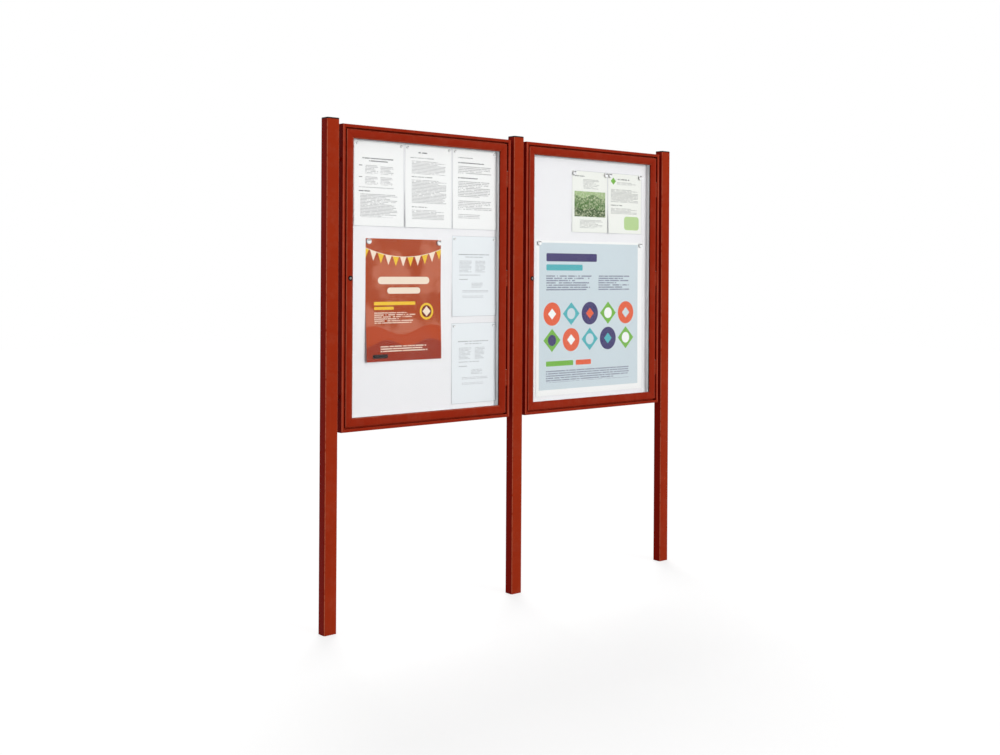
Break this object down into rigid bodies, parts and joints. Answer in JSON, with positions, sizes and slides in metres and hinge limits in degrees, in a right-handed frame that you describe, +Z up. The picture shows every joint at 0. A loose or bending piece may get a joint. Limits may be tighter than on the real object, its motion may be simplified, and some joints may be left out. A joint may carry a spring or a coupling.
{
  "type": "lockable notice board",
  "caption": "Outdoor notice board: glazed display cases side by side, each with a hinged door and a cam lock, hung between capped rectangular posts.",
  "frame": {"origin": "centre of the middle post's foot, on the ground", "axes": "+Z up, +X along the row to the reader's right, -Y towards the reader"},
  "size_m": [1.71, 0.04, 1.743],
  "materials": {
    "frame_coat": "satin red-brown powder coat on aluminium",
    "cap_plastic": "fine texture",
    "black_rubber": "matt extruded",
    "clear_glass": "clear safety glass",
    "white_enamel": "white enamelled sheet metal",
    "sheet_paper": "matt print",
    "poster_paper": "satin print",
    "magnet_plastic": "moulded",
    "lock_metal": "nickel plated",
    "zinc_steel": "zinc plated",
    "spacer_aluminium": "powder coated",
    "raw_aluminium": "die cast"
  },
  "bodies": {
    "stand": {"case_bolts": "zinc_steel", "left_back_panel": "white_enamel", "left_case_spacers": "spacer_aluminium", "left_door_seal": "black_rubber", "left_hinge_fixed_leaves": "frame_coat", "left_hinge_pins": "zinc_steel", "left_housing_bottom_rail": "frame_coat", "left_housing_cleats": "raw_aluminium", "left_housing_left_side": "frame_coat", "left_housing_right_side": "frame_coat", "left_housing_top_rail": "frame_coat", "left_inner_lining": "white_enamel", "left_magnets": "magnet_plastic", "left_notice_sheets": "sheet_paper", "left_poster": "poster_paper", "post_cap_left": "cap_plastic", "post_cap_middle": "cap_plastic", "post_cap_right": "cap_plastic", "post_left": "frame_coat", "post_middle": "frame_coat", "post_nuts": "zinc_steel", "post_right": "frame_coat", "right_back_panel": "white_enamel", "right_case_spacers": "spacer_aluminium", "right_door_seal": "black_rubber", "right_hinge_fixed_leaves": "frame_coat", "right_hinge_pins": "zinc_steel", "right_housing_bottom_rail": "frame_coat", "right_housing_cleats": "raw_aluminium", "right_housing_left_side": "frame_coat", "right_housing_right_side": "frame_coat", "right_housing_top_rail": "frame_coat", "right_inner_lining": "white_enamel", "right_magnets": "magnet_plastic", "right_notice_sheets": "sheet_paper", "right_poster": "poster_paper"},
    "left_door": {"left_door_bottom_rail": "frame_coat", "left_door_cleats": "raw_aluminium", "left_door_hinge_stile": "frame_coat", "left_door_lock_stile": "frame_coat", "left_door_pane": "clear_glass", "left_door_top_rail": "frame_coat", "left_glazing_gasket": "black_rubber", "left_hinge_door_leaves": "frame_coat", "left_lock_barrel": "lock_metal", "left_lock_nut": "zinc_steel"},
    "right_door": {"right_door_bottom_rail": "frame_coat", "right_door_cleats": "raw_aluminium", "right_door_hinge_stile": "frame_coat", "right_door_lock_stile": "frame_coat", "right_door_pane": "clear_glass", "right_door_top_rail": "frame_coat", "right_glazing_gasket": "black_rubber", "right_hinge_door_leaves": "frame_coat", "right_lock_barrel": "lock_metal", "right_lock_nut": "zinc_steel"},
    "left_lock": {"left_lock_cam": "zinc_steel", "left_lock_plug": "lock_metal"},
    "right_lock": {"right_lock_cam": "zinc_steel", "right_lock_plug": "lock_metal"}
  },
  "joints": [
    {"name": "left_door_hinge", "type": "hinge", "parent": "stand", "child": "left_door", "pos_m": [-0.0546, -0.014, 1.201], "axis": [0, 0, 1], "range_deg": [0, 105]},
    {"name": "left_lock_turn", "type": "hinge", "parent": "left_door", "child": "left_lock", "pos_m": [-0.757, -0.016, 1.201], "axis": [0, 1, 0], "range_deg": [0, 90]},
    {"name": "right_door_hinge", "type": "hinge", "parent": "stand", "child": "right_door", "pos_m": [0.7754, -0.014, 1.201], "axis": [0, 0, 1], "range_deg": [0, 105]},
    {"name": "right_lock_turn", "type": "hinge", "parent": "right_door", "child": "right_lock", "pos_m": [0.073, -0.016, 1.201], "axis": [0, 1, 0], "range_deg": [0, 90]}
  ]
}
